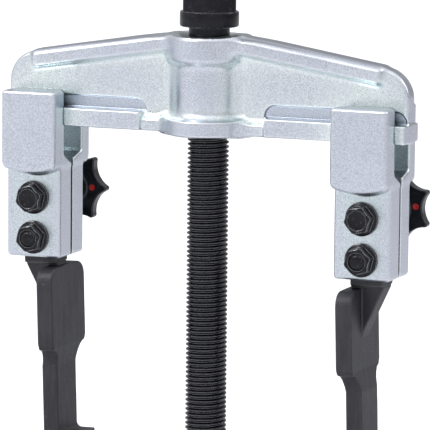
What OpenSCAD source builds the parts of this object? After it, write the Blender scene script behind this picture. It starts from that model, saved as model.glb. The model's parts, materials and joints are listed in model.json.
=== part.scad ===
// Two-arm gear puller with quick-adjusting, two-piece sliders and narrow legs.
// Origin: on the spindle axis, level with the underside of the crossbeam.
// +X runs along the crossbeam, +Y towards the clamping knobs, +Z towards the spindle's hexagon.

/* [Crossbeam] */
// Length of the slide rail, end to end
rail_length = 227; // [220:1:240]
// Width of the slide rail
rail_width = 23; // [21:0.5:23]
// Height of the slide rail
rail_height = 10; // [9:0.5:10]
// Height of the crossbeam at its hub
beam_height = 51; // [46:1:54]
// Slope of the crossbeam's top, in degrees
beam_slope = 9.2; // [7:0.1:10]
// Thickness of the web
web_thickness = 11; // [10.6:0.2:11]
// Width of the top flange
flange_width = 18; // [14:1:20]
// Width of the top flange where it meets the hub
flange_hub_width = 24; // [20:1:26]
// Depth of the top flange
flange_depth = 8.5; // [5:0.5:9]
// Corner radius at each end of the web
end_radius = 13.5; // [12:0.5:18]
// Diameter of the hub
hub_diameter = 37; // [34:0.5:38]
// Diameter of the collar at the top of the hub
hub_collar_diameter = 43; // [40:0.5:44]
// Diameter of the round plate at the foot of the hub
hub_plate_diameter = 47; // [44:0.5:48]
// Thickness of the round plate at the foot of the hub
hub_plate_thickness = 8.2; // [8:0.2:11]

/* [Spindle] */
// Outside diameter of the spindle thread
thread_diameter = 22; // [20:1:24]
// Distance from the thread's lower end to the crossbeam's underside
thread_below = 168; // [160:1:200]
// Gap between the hub's top and the spindle collar
collar_lift = 5; // [4:0.5:10]
// Diameter of the spindle collar
collar_diameter = 31.3; // [28:0.1:32]
// Height of the spindle collar
collar_height = 8.1; // [5:0.1:10]
// Hexagon size across flats
hex_flats = 28; // [24:1:28]
// Height of the hexagon
hex_height = 21; // [15:1:28]

/* [Sliders] */
// Distance of the left slider's centre from the spindle axis
left_slider_x = 94.5; // [50:0.5:94.5]
// Distance of the right slider's centre from the spindle axis
right_slider_x = 92.5; // [50:0.5:94.5]
// Width of a slider along the crossbeam
slider_width = 31.5; // [28:0.5:32]
// Depth of a slider's upper block, front to back
block_depth = 46.6; // [44:0.2:48]
// Depth of a slider's lower part, front to back
lower_depth = 31; // [28:0.2:31]
// Top of the slider above the crossbeam's underside
slider_top = 18.8; // [18:0.1:22]
// Bottom of the slider below the crossbeam's underside
slider_bottom = 71.4; // [70:0.1:76]
// Width of the slot between the two halves
half_gap = 2.8; // [2:0.1:4]
// Depth of the upper bolt's axis below the crossbeam's underside
clamp_bolt_z = 38.9; // [37:0.1:40]
// Depth of the lower bolt's axis below the crossbeam's underside
leg_bolt_z = 60.5; // [59:0.1:62]

/* [Legs] */
// Width of a leg's upper plate, front to back
plate_width = 43.8; // [36:0.2:46]
// Width of a leg's lower bar, front to back
bar_width = 25.5; // [20:0.5:28]
// Thickness of a leg's upper plate
plate_thickness = 9.1; // [8:0.1:9.1]
// Thickness of a leg's lower bar
bar_thickness = 9; // [7:0.1:9]
// Depth of the gripping face below the crossbeam's underside
grip_z = 168; // [155:1:168]
// Reach of the foot beyond the bar's inner face
foot_reach = 10.5; // [8:0.1:16]
// Lean of the left leg towards the spindle at rest, in degrees
left_leg_lean = 1.7; // [-1.7:0.1:1.7]
// Lean of the right leg towards the spindle at rest, in degrees
right_leg_lean = -1.7; // [-1.7:0.1:1.7]

/* [Knobs] */
// Diameter over the knob's lobes
knob_diameter = 41.6; // [38:0.2:44]
// Number of lobes
knob_lobes = 7; // [5:1:8]
// Thickness of the lobed part
knob_thickness = 8.8; // [7:0.1:11]
// Length of the knob's neck
knob_neck = 16; // [12:0.5:18]
// Turn of the left knob at rest, in degrees
left_knob_phase = -1; // [-26:1:26]
// Turn of the right knob at rest, in degrees
right_knob_phase = 26; // [-26:1:26]

/* [Hidden] */
$fn = 64;
eps = 0.01;
running = 0.05;                 // radial clearance of a running fit
sliding = 0.1;                  // clearance between sliding faces

// Crossbeam
rail_half_l = rail_length / 2;
hub_flat = 24;                  // half length of the level top over the hub
web_end = rail_half_l;
slope_tan = tan(beam_slope);
corner_x = web_end - end_radius;
corner_z = beam_height - slope_tan * (corner_x - hub_flat) - end_radius / cos(beam_slope);
flange_end = 99;
flare_end = 70;                 // where the flange's flare towards the hub begins
rail_start = 35;                // where the full rail width begins
neck_width = 18;
neck_height = 6.5;
hub_collar_height = 13;
hub_collar_slope = 1.5;         // height of the cone under the hub's collar
hub_drop = 0.8;                 // the hub stands this far below the rail
track_height = 6.4;             // milled track above the rail
track_start = 33.8;
track_end = 112.5;
track_wall = 4;                 // half thickness of the web left between the tracks
track_corner = 6;               // radius of the track's upper corners
rail_corner = 3;
edge = 1;                       // ordinary edge chamfer of the forgings
countersink_diameter = 30;
countersink_depth = 4;
bore_diameter = thread_diameter + 2 * running;

// Spindle and its pressure tip
collar_z = beam_height + collar_lift;
hex_z = collar_z + collar_height;
hex_turn = -68;                 // turn of the hexagon at rest
thread_chamfer = 1.5;
collar_chamfer = 0.8;
tip_room = 0.5;                 // free depth above the tip's shank
tip_gap = 0.2;                  // gap between the tip's head and the thread's end
tip_shank = 12;
tip_shank_length = 13;
tip_head = 16.5;
tip_head_height = 5;
tip_point = 4;
tip_height = 13;
ring_wire = 1.2;
ring_inner = 10.4;
ring_outer = 13.6;
ring_groove = 14.4;
ring_opening = 2.4;
ring_z = -thread_below + 7;

// Sliders
block_half = block_depth / 2;
lower_half = lower_depth / 2;
gap_half = half_gap / 2;
claw_inner = web_thickness / 2 + 0.7;
nose_inner = track_wall + 0.6;
nose_top = rail_height + track_height - 0.5;
rail_side = rail_width / 2 + sliding;
claw_seat = rail_height + sliding;
nose_half = 12.5;               // half length of a claw's nose, along the crossbeam
nose_corner = 2.5;
cavity_floor = -16;
front_ramp = 5;               // height of the slope below the cavity, front half
rear_ramp = 2.5;                // the same on the rear half
block_low = -17.5;
block_bottom = -25;
block_chin = 3;                 // inset of the block's lower edge
block_corner = 2.5;

// Legs
tang_half = 8.2;
tang_width = 18;
tang_top = 46.4;
leg_play = 1.7;                 // a leg leans this far each way in its slider, in degrees
bar_outer = 1.8;                // outer face of the bar, measured inwards from the slider's centre
plate_outer = 3.7;
plate_inner = plate_outer + plate_thickness;
bar_inner = bar_outer + bar_thickness;
plate_top = 77;
plate_bottom = 120;
bar_top = 131;
plate_corner = 8;
neck_radius = 11;
neck_angle = 125;               // where the scoop between plate and bar begins
gusset_top = 75.5;
gusset_bottom = 102;
foot_tip = bar_inner + foot_reach;
foot_edge = 5;
foot_height = 12;
foot_fillet = 3;
heel = 4;                       // chamfer along the foot's outer lower edge
tang_edge = 2.4;                // inset of the gusset from the tang's faces

// Bolts, nuts and washers
m8 = 8;
m8_clear = 8.6;
flange_m8 = 17.9;
flange_m8_h = 1.8;
head_flats = 13;
head_height = 8;
hex_edge = 0.8;                 // chamfer of a hexagon's corners
nut_height = 7.5;
stud_end = 1;
shoulder = 10;
shoulder_clear = 10.4;
opening = 1.25;                 // travel of the rear half: one turn of the M8 knob
washer_outer = 17;
washer_t = 1.6;

// Knobs
knob_y = lower_half + washer_t;
knob_face = knob_y + knob_neck;
knob_back = knob_face + knob_thickness;
neck_diameter = 18;
lobe_depth = 4.8;
valley_radius = 12;
insert_outer = 12;
insert_length = 18;
knob_hole_end = knob_back - 2.5;
bolt_end = knob_y + 18.6;
marker_d = 3.4;
marker_depth = 1.2;
marker_radius = 12.6;
left_marker = 0;                // angle of each marker about its knob's axis
right_marker = 5;

zinc = [0.74, 0.76, 0.80];
blackened = [0.12, 0.12, 0.13];
phosphated = [0.24, 0.23, 0.24];
plastic = [0.04, 0.04, 0.05];
brass = [0.72, 0.58, 0.30];
red = [0.70, 0.10, 0.08];

// ---------------------------------------------------------------- helpers

// Points of an arc about c, from angle a0 to a1
function arc(c, r, a0, a1, n = 8) =
  [for (i = [0:n]) c + r * [cos(a0 + (a1 - a0) * i / n), sin(a0 + (a1 - a0) * i / n)]];

// Extrudes a (y, z) outline along X, from x0 to x1
module along_x(x0, x1) {
  translate([x0, 0, 0]) rotate([90, 0, 90]) linear_extrude(x1 - x0) children();
}

// Extrudes an (x, z) outline along Y, from y0 to y1
module along_y(y0, y1) {
  translate([0, y1, 0]) rotate([90, 0, 0]) linear_extrude(y1 - y0) children();
}

// A round bar along Y at height z
module bar_y(d, y0, y1, z) {
  translate([0, y0, z]) rotate([-90, 0, 0]) cylinder(d = d, h = y1 - y0);
}

// A hexagon prism along Y with its corners chamfered on the side that faces away
module hex_y(flats, y0, y1, z, out) {
  corner = flats / cos(30);
  intersection() {
    translate([0, y0, z]) rotate([-90, 30, 0]) cylinder(d = corner, h = y1 - y0, $fn = 6);
    translate([0, out > 0 ? y0 : y1, z]) rotate([-90 * out, 0, 0])
      cylinder(d1 = corner + 2 * (y1 - y0 - hex_edge), d2 = corner - 2 * hex_edge, h = y1 - y0);
  }
}

module rounded_rect(x0, x1, y0, y1, r) {
  polygon(concat(
    arc([x1 - r, y1 - r], r, 0, 90), arc([x0 + r, y1 - r], r, 90, 180),
    arc([x0 + r, y0 + r], r, 180, 270), arc([x1 - r, y0 + r], r, 270, 360)));
}

module both_ends() {
  children();
  mirror([1, 0, 0]) children();
}

module both_faces() {
  children();
  mirror([0, 1, 0]) children();
}

module at_left() {
  translate([-left_slider_x, 0, 0]) children();
}

module at_right() {
  translate([right_slider_x, 0, 0]) mirror([1, 0, 0]) children();
}

// ---------------------------------------------------------------- crossbeam

function beam_top(x) = beam_height - slope_tan * max(0, x - hub_flat);

// Side view of one half of the beam, above the rail
module web_outline() {
  polygon(concat(
    [[0, 0], [web_end, 0]],
    arc([corner_x, corner_z], end_radius, 0, 90 - beam_slope, 12),
    [[hub_flat, beam_height], [0, beam_height]]));
}

module flange_outline() {
  top = beam_top(flange_end);
  low = top - flange_depth + edge;
  polygon([
    [0, beam_height], [hub_flat, beam_height], [flange_end - edge, top], [flange_end, top - edge],
    [flange_end, low + edge], [flange_end - edge, low], [hub_flat, beam_height - flange_depth],
    [0, beam_height - flange_depth]]);
}

// Plan of one half of the flange, wider towards the hub
module flange_plan() {
  plan = [[0, flange_hub_width / 2], [hub_flat, flange_hub_width / 2],
    [flare_end, flange_width / 2], [flange_end, flange_width / 2]];
  polygon(concat(plan, [for (i = [len(plan) - 1:-1:0]) [plan[i][0], -plan[i][1]]]));
}

module beam_flange() {
  both_ends() intersection() {
    along_y(-flange_hub_width / 2, flange_hub_width / 2) flange_outline();
    linear_extrude(beam_height) flange_plan();
  }
}

module beam_web() {
  both_ends() along_y(-web_thickness / 2, web_thickness / 2) web_outline();
}

module beam_rail() {
  both_ends() linear_extrude(rail_height) {
    rounded_rect(rail_start, rail_half_l, -rail_width / 2, rail_width / 2, rail_corner);
  }
  neck_profile = [
    [-neck_width / 2, 0], [neck_width / 2, 0], [neck_width / 2, neck_height],
    [web_thickness / 2, rail_height], [-web_thickness / 2, rail_height], [-neck_width / 2, neck_height]];
  along_x(-rail_start - rail_corner, rail_start + rail_corner) polygon(neck_profile);
}

module hub() {
  cylinder(d = hub_diameter, h = beam_height);
  translate([0, 0, -hub_drop]) hub_plate();
  translate([0, 0, beam_height - hub_collar_height]) hub_collar();
}

module hub_plate() {
  plain = hub_plate_thickness - edge;
  cylinder(d = hub_plate_diameter, h = plain);
  translate([0, 0, plain])
    cylinder(d1 = hub_plate_diameter, d2 = hub_plate_diameter - 4 * edge, h = edge);
}

module hub_collar() {
  plain = hub_collar_height - hub_collar_slope - edge;
  cylinder(d1 = hub_diameter, d2 = hub_collar_diameter, h = hub_collar_slope);
  translate([0, 0, hub_collar_slope]) cylinder(d = hub_collar_diameter, h = plain);
  translate([0, 0, hub_collar_height - edge])
    cylinder(d1 = hub_collar_diameter, d2 = hub_collar_diameter - 2 * edge, h = edge);
}

// Milled track above the rail, where the claws' noses run
module track() {
  z = rail_height + track_height - track_corner;
  both_ends() both_faces() along_y(track_wall, web_thickness)
    polygon(concat(
      [[track_start, rail_height], [track_end, rail_height]],
      arc([track_end - track_corner, z], track_corner, 0, 90),
      arc([track_start + track_corner, z], track_corner, 90, 180)));
}

module crossbeam() color(zinc) difference() {
  union() {
    beam_flange();
    beam_web();
    beam_rail();
    hub();
  }
  track();
  translate([0, 0, -1]) cylinder(d = bore_diameter, h = beam_height + 2);
  translate([0, 0, beam_height - countersink_depth])
    cylinder(d1 = bore_diameter, d2 = countersink_diameter, h = countersink_depth + eps);
}

// ---------------------------------------------------------------- spindle

module spindle() color(blackened) difference() {
  union() {
    translate([0, 0, -thread_below])
      cylinder(d1 = thread_diameter - 2 * thread_chamfer, d2 = thread_diameter, h = thread_chamfer);
    translate([0, 0, -thread_below + thread_chamfer])
      cylinder(d = thread_diameter, h = thread_below + collar_z - thread_chamfer + eps);
    translate([0, 0, collar_z])
      cylinder(d1 = collar_diameter - 2 * collar_chamfer, d2 = collar_diameter, h = collar_chamfer);
    translate([0, 0, collar_z + collar_chamfer])
      cylinder(d = collar_diameter, h = collar_height - collar_chamfer);
    translate([0, 0, hex_z]) spindle_hexagon();
  }
  translate([0, 0, -thread_below - 1])
    cylinder(d = tip_shank + 2 * running, h = tip_shank_length + 1 + tip_room);
  translate([0, 0, ring_z - ring_wire / 2 - sliding])
    cylinder(d = ring_groove, h = ring_wire + 2 * sliding);
}

// Hexagon with the corners of its top end chamfered
module spindle_hexagon() intersection() {
  corner = hex_flats / cos(30);
  rotate(hex_turn) cylinder(d = corner, h = hex_height, $fn = 6);
  cylinder(d1 = corner + 2 * hex_height - 2 * edge, d2 = corner - 2 * edge, h = hex_height);
}

// Swivelling centre that bears on the shaft while the spindle turns
module pressure_tip() color(blackened) difference() {
  union() {
    translate([0, 0, -thread_below - tip_gap]) {
      cylinder(d = tip_shank, h = tip_shank_length);
      translate([0, 0, -tip_head_height]) cylinder(d = tip_head, h = tip_head_height);
      translate([0, 0, -tip_height])
        cylinder(d1 = tip_point, d2 = tip_head, h = tip_height - tip_head_height);
    }
  }
  translate([0, 0, ring_z - ring_wire / 2]) difference() {
    cylinder(d = tip_shank + 2, h = ring_wire);
    translate([0, 0, -1]) cylinder(d = ring_inner, h = ring_wire + 2);
  }
}

// Open spring ring that keeps the tip in the spindle
module tip_snap_ring() color(zinc) translate([0, 0, ring_z - ring_wire / 2]) difference() {
  cylinder(d = ring_outer, h = ring_wire);
  translate([0, 0, -1]) cylinder(d = ring_inner, h = ring_wire + 2);
  translate([0, -ring_opening / 2, -1]) cube([ring_outer, ring_opening, ring_wire + 2]);
}

// ---------------------------------------------------------------- sliders

// Side view of the rear half; ramp is the height of the slope below the cavity
module half_profile(ramp) {
  polygon(concat(
    [[claw_inner, slider_top]],
    arc([block_half - block_corner, slider_top - block_corner], block_corner, 90, 0, 6),
    [
      [block_half, block_low], [block_half - block_chin, (block_low + 2 * block_bottom) / 3],
      [lower_half, block_bottom]
    ],
    arc([lower_half - edge, -slider_bottom + edge], edge, 0, -90, 4),
    [
      [gap_half, -slider_bottom], [gap_half, cavity_floor - ramp], [rail_side - edge, cavity_floor],
      [rail_side, cavity_floor + edge], [rail_side, claw_seat], [claw_inner, claw_seat]
    ]));
}

// Nose of a claw, which runs in the crossbeam's track
module claw_nose() {
  along_y(nose_inner, claw_inner + edge)
    rounded_rect(-nose_half, nose_half, claw_seat, nose_top, nose_corner);
}

// Slanted ends that narrow the claw to its nose's length at the web
module claw_relief() both_ends() linear_extrude(slider_top + 1) {
  polygon([
    [nose_half + edge, claw_inner - edge], [slider_width / 2, rail_side],
    [slider_width / 2 + edge, rail_side], [slider_width / 2 + edge, claw_inner - edge]]);
}

// Front view of a half: both ends rounded
module half_outline() {
  rounded_rect(-slider_width / 2, slider_width / 2, -slider_bottom, slider_top, block_corner);
}

module clamp_half(ramp, lower_hole) {
  claw_nose();
  difference() {
    intersection() {
      along_x(-slider_width / 2, slider_width / 2) half_profile(ramp);
      along_y(0, block_half) half_outline();
    }
    claw_relief();
    tang_pocket();
    bar_y(m8_clear, 0, block_half, -clamp_bolt_z);
    bar_y(lower_hole, 0, block_half, -leg_bolt_z);
  }
}

// Recess for the leg's tang
module tang_pocket() {
  w = tang_width + 2 * ((leg_bolt_z - tang_top) * sin(leg_play) + sliding);
  top = -tang_top + tang_width / 2 * sin(leg_play) + sliding;
  translate([-w / 2, -tang_half, -slider_bottom - 1])
    cube([w, 2 * tang_half, slider_bottom + 1 + top]);
}

module front_clamp() color(zinc) mirror([0, 1, 0]) clamp_half(front_ramp, m8_clear);

module rear_clamp() color(zinc) clamp_half(rear_ramp, shoulder_clear);

// ---------------------------------------------------------------- legs

// Front-to-back outline of plate and bar, seen along the crossbeam
module leg_width_outline() {
  w = plate_width / 2;
  b = bar_width / 2;
  side = concat(
    arc([w - plate_corner, -plate_top - plate_corner], plate_corner, 90, 0, 8),
    [[w, -plate_bottom + 2 * edge], [w - 1.6 * edge, -plate_bottom - edge]],
    arc([b + neck_radius, -bar_top], neck_radius, neck_angle, 180, 6),
    [[b, -grip_z - foot_height]]);
  polygon(concat(side, [for (i = [len(side) - 1:-1:0]) [-side[i][0], side[i][1]]]));
}

// Thickness outline of plate, bar and foot, seen from the front; inwards is +X
module leg_side_outline() {
  polygon(concat(
    [
      [plate_outer, -plate_top], [plate_inner, -plate_top], [plate_inner, -plate_bottom],
      [bar_inner, -bar_top]
    ],
    arc([bar_inner + foot_fillet, -grip_z + foot_fillet], foot_fillet, 180, 270, 6),
    [
      [foot_tip - edge, -grip_z], [foot_tip, -grip_z - edge], [foot_tip, -grip_z - foot_edge],
      [bar_inner + heel, -grip_z - foot_height], [bar_outer + heel, -grip_z - foot_height],
      [bar_outer, -grip_z - foot_height + heel], [bar_outer, -bar_top], [plate_outer, -plate_bottom]
    ]));
}

// Front view of the gusset that carries the tang into the plate
module gusset_outline() {
  outer = -tang_width / 2;
  polygon([
    [outer, -gusset_top + edge], [tang_width / 2, -gusset_top + edge],
    [plate_inner, -plate_top - heel], [plate_inner, -gusset_bottom], [plate_outer, -gusset_bottom],
    [outer, -gusset_top - edge]]);
}

// A leg turned about its bolt; a positive lean moves the foot inwards
module leaning_leg(lean) {
  translate([0, 0, -leg_bolt_z]) rotate([0, -lean, 0]) translate([0, 0, leg_bolt_z]) leg();
}

module leg() color(phosphated) difference() {
  union() {
    intersection() {
      along_x(bar_outer, foot_tip) leg_width_outline();
      along_y(-plate_width / 2, plate_width / 2) leg_side_outline();
    }
    translate([-tang_width / 2, -tang_half, -gusset_top])
      cube([tang_width, 2 * tang_half, gusset_top - tang_top]);
    along_y(-tang_half + tang_edge, tang_half - tang_edge) gusset_outline();
  }
  bar_y(shoulder_clear, -tang_half - 1, tang_half + 1, -leg_bolt_z);
}

// ---------------------------------------------------------------- bolts and nuts

// Hex flange bolt that clamps the two halves; its end screws into the knob
module clamp_bolt() color(blackened) {
  bar_y(flange_m8, -lower_half - flange_m8_h, -lower_half, -clamp_bolt_z);
  hex_y(head_flats, -lower_half - head_height, -lower_half - flange_m8_h + eps, -clamp_bolt_z, -1);
  bar_y(m8, -lower_half - eps, bolt_end, -clamp_bolt_z);
}

// Shoulder bolt that holds the leg; its head leaves room for the rear half to back off
module leg_bolt() color(blackened) {
  head = lower_half + opening + sliding;
  bar_y(m8, -lower_half - nut_height - stud_end, -tang_half + eps, -leg_bolt_z);
  bar_y(shoulder, -tang_half, head, -leg_bolt_z);
  bar_y(flange_m8, head - eps, head + flange_m8_h, -leg_bolt_z);
  hex_y(head_flats, head + flange_m8_h - eps, head + head_height, -leg_bolt_z, 1);
}

module leg_nut() color(blackened) difference() {
  union() {
    bar_y(flange_m8, -lower_half - flange_m8_h, -lower_half, -leg_bolt_z);
    hex_y(head_flats, -lower_half - nut_height, -lower_half - flange_m8_h + eps, -leg_bolt_z, -1);
  }
  bar_y(m8 + 2 * running, -lower_half - nut_height - 1, 0, -leg_bolt_z);
}

// ---------------------------------------------------------------- knobs

module knob_washer() color(zinc) difference() {
  bar_y(washer_outer, lower_half, lower_half + washer_t, -clamp_bolt_z);
  bar_y(m8_clear, 0, block_half, -clamp_bolt_z);
}

// Places its children on the knob's axis, with the knob's phase applied
module on_knob_axis(phase) {
  translate([0, 0, -clamp_bolt_z]) rotate([0, -phase, 0]) children();
}

module knob(phase, marker_angle) color(plastic) difference() {
  union() {
    bar_y(neck_diameter, knob_y, knob_face + eps, -clamp_bolt_z);
    on_knob_axis(phase) difference() {
      bar_y(knob_diameter, knob_face, knob_back, 0);
      for (i = [0:knob_lobes - 1])
        rotate([0, (i + 0.5) * 360 / knob_lobes, 0])
          translate([knob_diameter / 2 - lobe_depth + valley_radius, 0, 0])
            bar_y(2 * valley_radius, knob_face - 1, knob_back + 1, 0);
    }
  }
  bar_y(insert_outer, knob_y - 1, knob_y + insert_length, -clamp_bolt_z);
  bar_y(m8 + 1, knob_y, knob_hole_end, -clamp_bolt_z);
  marker_solid(marker_angle);
}

module marker_solid(marker_angle) {
  on_knob_axis(marker_angle) translate([marker_radius, 0, 0])
    bar_y(marker_d, knob_face, knob_face + marker_depth, 0);
}

module knob_insert() color(brass) difference() {
  bar_y(insert_outer, knob_y, knob_y + insert_length, -clamp_bolt_z);
  bar_y(m8 + 2 * running, knob_y - 1, knob_y + insert_length + 1, -clamp_bolt_z);
}

module knob_marker(marker_angle) color(red) marker_solid(marker_angle);

// ---------------------------------------------------------------- named pieces

module left_front_clamp() at_left() front_clamp();
module left_rear_clamp() at_left() rear_clamp();
module left_leg() at_left() leaning_leg(left_leg_lean);
module left_clamp_bolt() at_left() clamp_bolt();
module left_leg_bolt() at_left() leg_bolt();
module left_leg_nut() at_left() leg_nut();
module left_knob_washer() at_left() knob_washer();
module left_knob() at_left() knob(left_knob_phase, left_marker);
module left_knob_insert() at_left() knob_insert();
module left_knob_marker() at_left() knob_marker(left_marker);
module right_front_clamp() at_right() front_clamp();
module right_rear_clamp() at_right() rear_clamp();
module right_leg() at_right() leaning_leg(right_leg_lean);
module right_clamp_bolt() at_right() clamp_bolt();
module right_leg_bolt() at_right() leg_bolt();
module right_leg_nut() at_right() leg_nut();
module right_knob_washer() at_right() knob_washer();
module right_knob() at_right() knob(180 - right_knob_phase, 180 - right_marker);
module right_knob_insert() at_right() knob_insert();
module right_knob_marker() at_right() knob_marker(180 - right_marker);

crossbeam();
spindle();
pressure_tip();
tip_snap_ring();
left_front_clamp();
left_rear_clamp();
left_leg();
left_clamp_bolt();
left_leg_bolt();
left_leg_nut();
left_knob_washer();
left_knob();
left_knob_insert();
left_knob_marker();
right_front_clamp();
right_rear_clamp();
right_leg();
right_clamp_bolt();
right_leg_bolt();
right_leg_nut();
right_knob_washer();
right_knob();
right_knob_insert();
right_knob_marker();
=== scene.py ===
"""Looks of the two-arm gear puller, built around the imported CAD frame.

Shapes with soft, forged edges are written as distance fields in millimetres and meshed on a fine grid.
Turned parts, threads and hexagons are built ring by ring. Every piece stands for one CAD node.
"""

import json
import math

import bmesh
import bpy
import numpy as np
from mathutils import Matrix, Vector


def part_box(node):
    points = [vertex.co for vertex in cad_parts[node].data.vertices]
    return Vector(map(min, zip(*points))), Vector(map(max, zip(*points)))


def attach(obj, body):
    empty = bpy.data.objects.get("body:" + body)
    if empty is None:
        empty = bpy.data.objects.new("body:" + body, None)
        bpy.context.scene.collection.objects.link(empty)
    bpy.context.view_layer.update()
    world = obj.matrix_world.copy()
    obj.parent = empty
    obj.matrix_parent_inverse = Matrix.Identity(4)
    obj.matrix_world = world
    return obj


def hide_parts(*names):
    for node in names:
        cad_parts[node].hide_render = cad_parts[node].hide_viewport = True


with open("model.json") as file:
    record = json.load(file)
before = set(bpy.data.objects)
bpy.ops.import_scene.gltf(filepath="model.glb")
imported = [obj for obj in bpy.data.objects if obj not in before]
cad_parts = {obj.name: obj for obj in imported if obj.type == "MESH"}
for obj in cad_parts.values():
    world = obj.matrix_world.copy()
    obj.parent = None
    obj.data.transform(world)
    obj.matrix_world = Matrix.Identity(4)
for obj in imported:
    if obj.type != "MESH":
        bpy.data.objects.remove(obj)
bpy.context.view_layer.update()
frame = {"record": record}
MM = 0.001


def box_mm(node):
    """A CAD node's lowest and highest corner, in millimetres."""
    low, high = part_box(node)
    return np.array(low) / MM, np.array(high) / MM


# ---------------------------------------------------------------- sizes read from the frame

BEAM_LOW, BEAM_HIGH = box_mm("crossbeam")
RAIL_END = BEAM_HIGH[0]
HUB_PLATE_R = BEAM_HIGH[1]
BEAM_TOP = BEAM_HIGH[2]
HUB_FOOT = BEAM_LOW[2]
SPINDLE_LOW, SPINDLE_HIGH = box_mm("spindle")
TIP_LOW, TIP_HIGH = box_mm("pressure_tip")
RING_LOW, RING_HIGH = box_mm("tip_snap_ring")

# sizes of the crossbeam that its box does not give, as in the CAD source
RAIL_HALF = 11.5
RAIL_TOP = 10.0
RAIL_START = 35.0
WEB_HALF = 5.5
WEB_END = RAIL_END
END_RADIUS = 13.5
SLOPE = math.radians(9.2)
HUB_FLAT = 24.0
FLANGE_HALF = 9.0
FLANGE_DEPTH = 8.5
FLANGE_END = 99.0
FLARE = 3.0  # how much wider the flange is at the hub, on each side
FLARE_END = 70.0
NECK_HALF = 9.0
NECK_TOP = 5.9
HUB_R = 18.5
COLLAR_R = 21.5
COLLAR_FOOT = 38.0
PLATE_TOP = 7.4
BORE_R = 11.05
COUNTERSINK_R = 15.0
TRACK_START = 33.8
TRACK_END = 112.5
TRACK_TOP = 16.4
TRACK_WALL = 4.0

# spindle
THREAD_R = 11.0
THREAD_PITCH = 2.5
THREAD_DEPTH = 0.6134  # share of the pitch
TIP_BORE_R = 6.05
TIP_NECK_R = 6.0
GROOVE_R = 5.2
COLLAR_Z = BEAM_TOP + 5.0
COLLAR_H = 8.1
SPINDLE_COLLAR_R = 15.65
HEX_FLATS = 28.0
HEX_TURN = math.radians(-68 + 30)  # where the middle of a flat lies

# sliders
GAP_HALF = 1.4
CLAW_INNER = 6.2
NOSE_INNER = 4.6
NOSE_TOP = 15.9
NOSE_HALF = 12.5
CAVITY_HALF = 11.6
CAVITY_TOP = 10.1
CAVITY_FLOOR = -16.0
LOWER_HALF = 15.5
TANG_HALF_Y = 8.2
TANG_HALF_X = 9.0
TANG_TOP = -46.4
TANG_PLAY = 0.6
TANG_ROOM = 0.12
BOLT_CLEAR_R = 4.3
SHOULDER_CLEAR_R = 5.2
SMILE_R = 43.0  # the block's curved lower edge, an arc about a point above it
SMILE_Z = 17.4

# legs, measured inwards from the slider's centre before they lean
BAR_OUTER = 1.8
PLATE_OUTER = 3.7
PLATE_INNER = 12.8
BAR_INNER = 10.8
BAR_HALF = 12.75
PLATE_HIGH = -77.0
PLATE_LOW = -120.0
BAR_TOP = -131.0
GUSSET_TOP = -75.5
GUSSET_LOW = -102.0
GUSSET_INSET = 2.4
NECK_R = 11.0
GRIP_Z = -168.0
FOOT_LOW = -180.0
FOOT_TIP = 21.3
LEAN = {"left": math.radians(1.7), "right": math.radians(-1.7)}

# fasteners and knobs
M8_R = 4.0
SHOULDER_R = 5.0
FLANGE_R = 8.95
HEAD_FLATS = 13.0
KNOB_LOBES = 7
KNOB_R = 20.8
KNOB_FACE = 16.0  # from the neck's foot to the lobes
KNOB_NECK_R = 9.0
KNOB_DOME = 0.0045  # fall of the back per square of the distance from the axis
LOBE_DEPTH = 4.8
VALLEY_R = 12.0


# ---------------------------------------------------------------- distance fields

def meet(a, b, r):
    """Intersection of two fields with the edge between them rounded by r."""
    return np.minimum(-r, np.maximum(a, b)) + np.hypot(np.maximum(a + r, 0), np.maximum(b + r, 0))


def join(a, b, r):
    """Union of two fields with a fillet of radius r between them."""
    return np.maximum(r, np.minimum(a, b)) - np.hypot(np.maximum(r - a, 0), np.maximum(r - b, 0))


def cut(a, b, r):
    """Field a without b, with the new edge rounded by r."""
    return meet(a, -b, r)


def slab(v, low, high):
    return np.abs(v - (low + high) / 2) - (high - low) / 2


def outline(u, v, points):
    """Signed distance to a closed polygon, negative inside."""
    best = np.full(u.shape, 1e12)
    inside = np.zeros(u.shape, dtype=bool)
    for (ax, ay), (bx, by) in zip(points, points[1:] + points[:1]):
        ex, ey = bx - ax, by - ay
        wx, wy = u - ax, v - ay
        t = np.clip((wx * ex + wy * ey) / (ex * ex + ey * ey), 0, 1)
        best = np.minimum(best, (wx - ex * t) ** 2 + (wy - ey * t) ** 2)
        crosses = (ay > v) != (by > v)
        if ey != 0:
            inside ^= crosses & (u < ax + (v - ay) * ex / ey)
    return np.where(inside, -1, 1) * np.sqrt(best)


def arc(cx, cy, r, a0, a1, n=8):
    """Points of an arc, angles in degrees."""
    return [(cx + r * math.cos(math.radians(a0 + (a1 - a0) * i / n)),
             cy + r * math.sin(math.radians(a0 + (a1 - a0) * i / n))) for i in range(n + 1)]


def gradient(field, p, step):
    g = np.empty_like(p)
    for axis in range(3):
        d = np.zeros(3)
        d[axis] = step
        g[:, axis] = (field(*(p + d).T) - field(*(p - d).T)) / (2 * step)
    return g


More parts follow.
